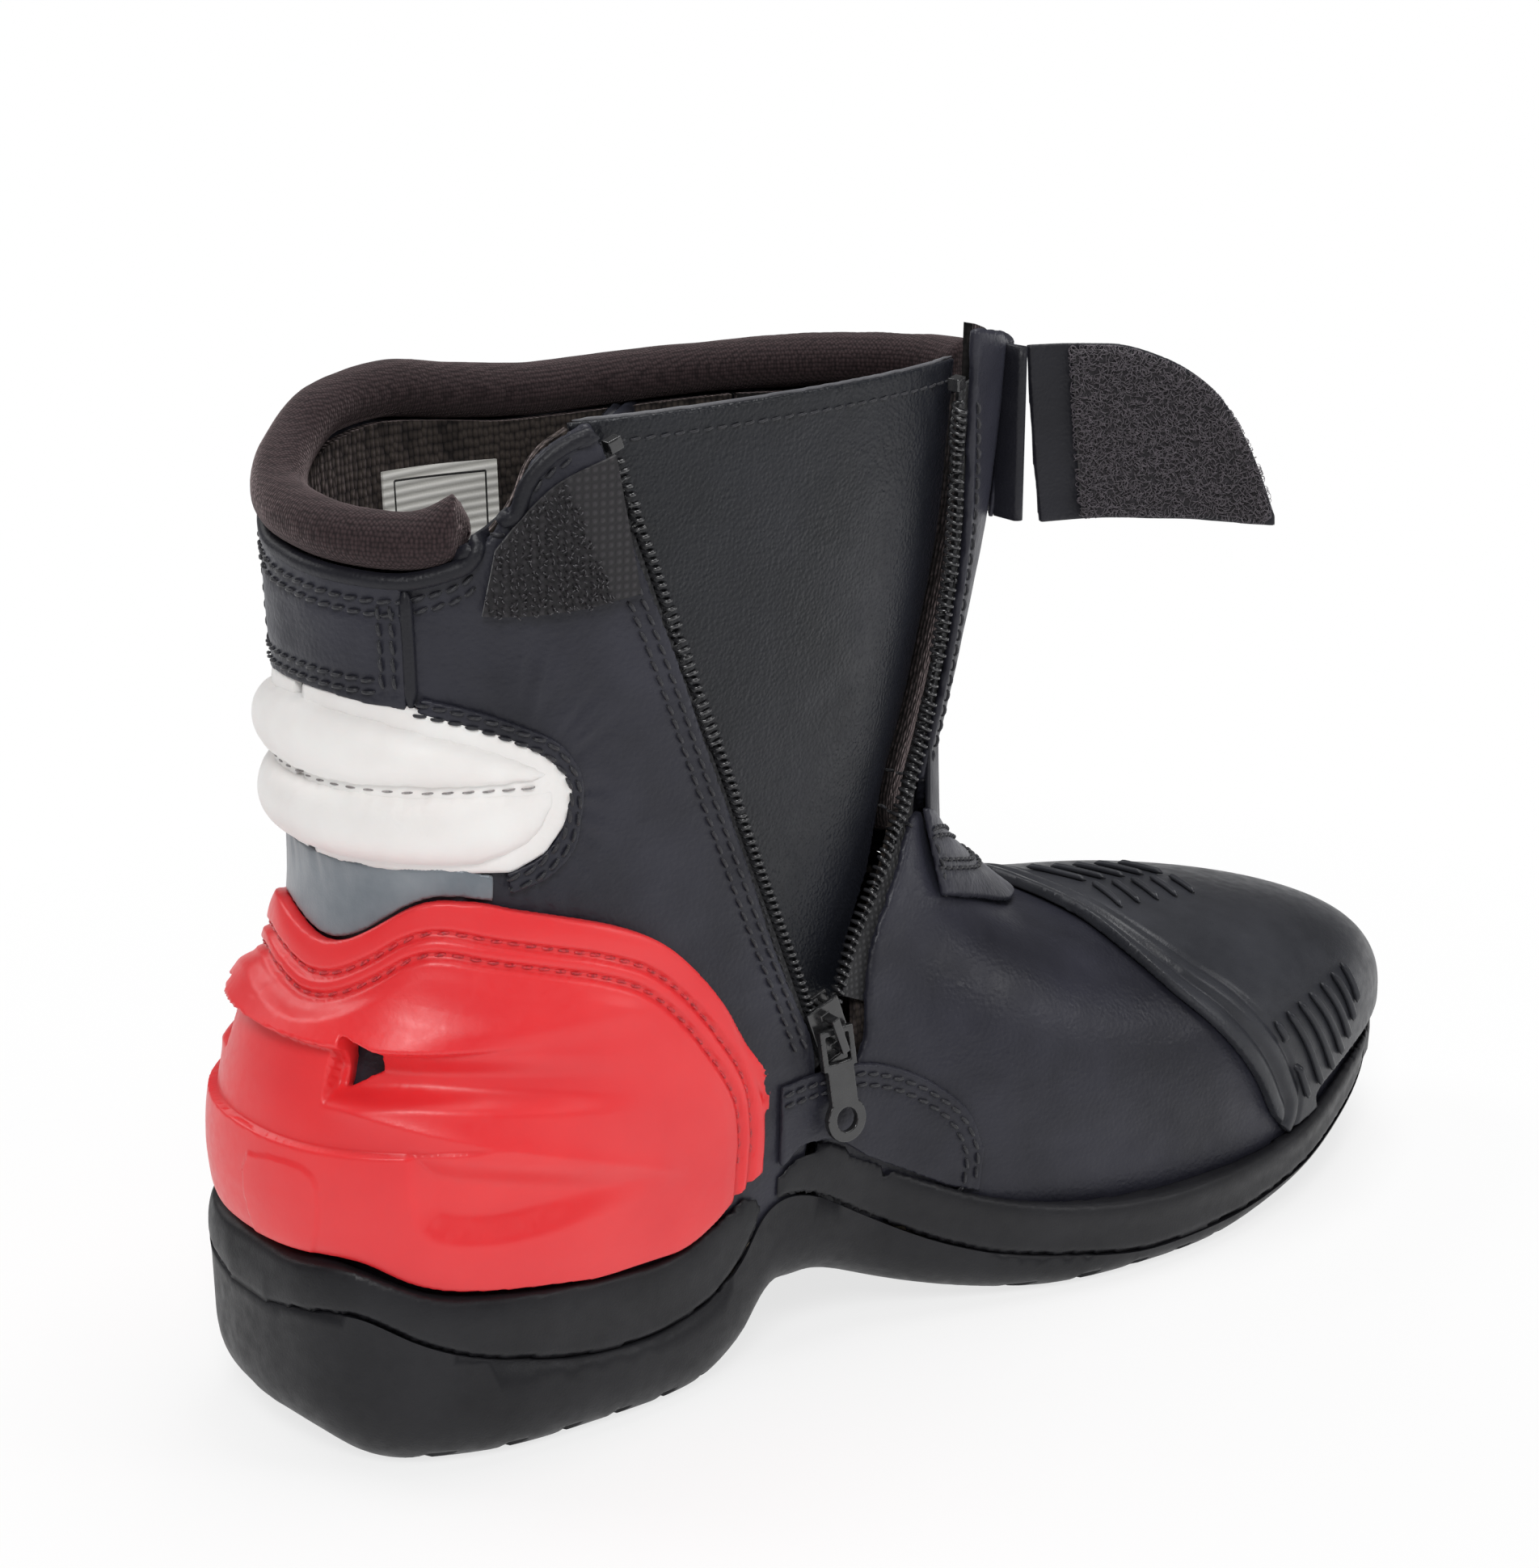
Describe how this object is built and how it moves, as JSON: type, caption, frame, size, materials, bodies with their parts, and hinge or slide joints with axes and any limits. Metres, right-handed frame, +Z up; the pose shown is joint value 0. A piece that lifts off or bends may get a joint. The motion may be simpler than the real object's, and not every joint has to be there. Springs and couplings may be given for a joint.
{
  "type": "motorcycle riding boot",
  "caption": "Short left leather riding boot with a side zip standing open, a moulded heel cup, padded Achilles ribs, a fold-over hook-and-loop strap and a rubber sole.",
  "frame": {"origin": "on the ground under the middle of the heel tread", "axes": "+X to the toe, +Y to the outer (lateral) side, +Z up"},
  "size_m": [0.3016, 0.1094, 0.2053],
  "materials": {
    "sole_rubber": "matte",
    "midsole_rubber": "matte",
    "spring_steel": "satin",
    "fibre_board": "matte",
    "footbed_fabric": "matte",
    "smooth_leather": "satin",
    "moulded_toe": "satin",
    "stiffener_board": "matte",
    "hook_tape": "matte",
    "loop_tape": "matte",
    "white_pad": "matte",
    "grey_fabric": "satin",
    "red_tpu": "satin",
    "ankle_foam": "matte",
    "mesh_lining": "matte",
    "label_tape": "matte",
    "collar_knit": "matte",
    "grained_leather": "satin",
    "zip_tape": "matte",
    "zip_coil": "gloss",
    "zip_metal": "gloss"
  },
  "bodies": {
    "boot": {"outsole": "sole_rubber", "midsole": "midsole_rubber", "shank": "spring_steel", "insole_board": "fibre_board", "footbed": "footbed_fabric", "vamp": "smooth_leather", "medial_quarter": "smooth_leather", "lateral_quarter": "smooth_leather", "shin_panel": "smooth_leather", "instep_strip": "smooth_leather", "medial_patch": "smooth_leather", "back_tab": "smooth_leather", "strap_base": "smooth_leather", "pad_binding": "smooth_leather", "toe_cap": "moulded_toe", "toe_puff": "stiffener_board", "heel_counter": "stiffener_board", "hook_patch": "hook_tape", "achilles_pad_upper": "white_pad", "achilles_pad_lower": "white_pad", "heel_band": "grey_fabric", "heel_cup": "red_tpu", "ankle_pad_medial": "ankle_foam", "ankle_pad_lateral": "ankle_foam", "lining_medial": "mesh_lining", "lining_lateral": "mesh_lining", "lining_front": "mesh_lining", "lining_foot": "mesh_lining", "size_label": "label_tape", "collar_roll": "collar_knit", "gusset": "grained_leather", "zip_tape_rear": "zip_tape", "zip_tape_front": "zip_tape", "zip_coil_rear": "zip_coil", "zip_coil_front": "zip_coil", "zip_stop_rear": "zip_metal", "zip_stop_front": "zip_metal", "zip_stop_low": "zip_metal"},
    "slider": {"zip_slider": "zip_metal"},
    "pull": {"zip_pull": "zip_metal"},
    "strap": {"strap": "smooth_leather", "strap_loop_face": "loop_tape"}
  },
  "joints": [
    {"name": "zip_slide", "type": "slide", "parent": "boot", "child": "slider", "axis": [-0.3698, -0.0137, 0.929], "range_m": [0, 0.127]},
    {"name": "pull_swing", "type": "hinge", "parent": "slider", "child": "pull", "pos_m": [0.06772, -0.03745, 0.06871], "axis": [-0.9974, 0.0407, -0.0598], "range_deg": [0, 150]},
    {"name": "strap_fold", "type": "hinge", "parent": "boot", "child": "strap", "pos_m": [0.1251, -0.0236, 0.177], "axis": [0, 0, -1], "range_deg": [-47, 129]}
  ]
}
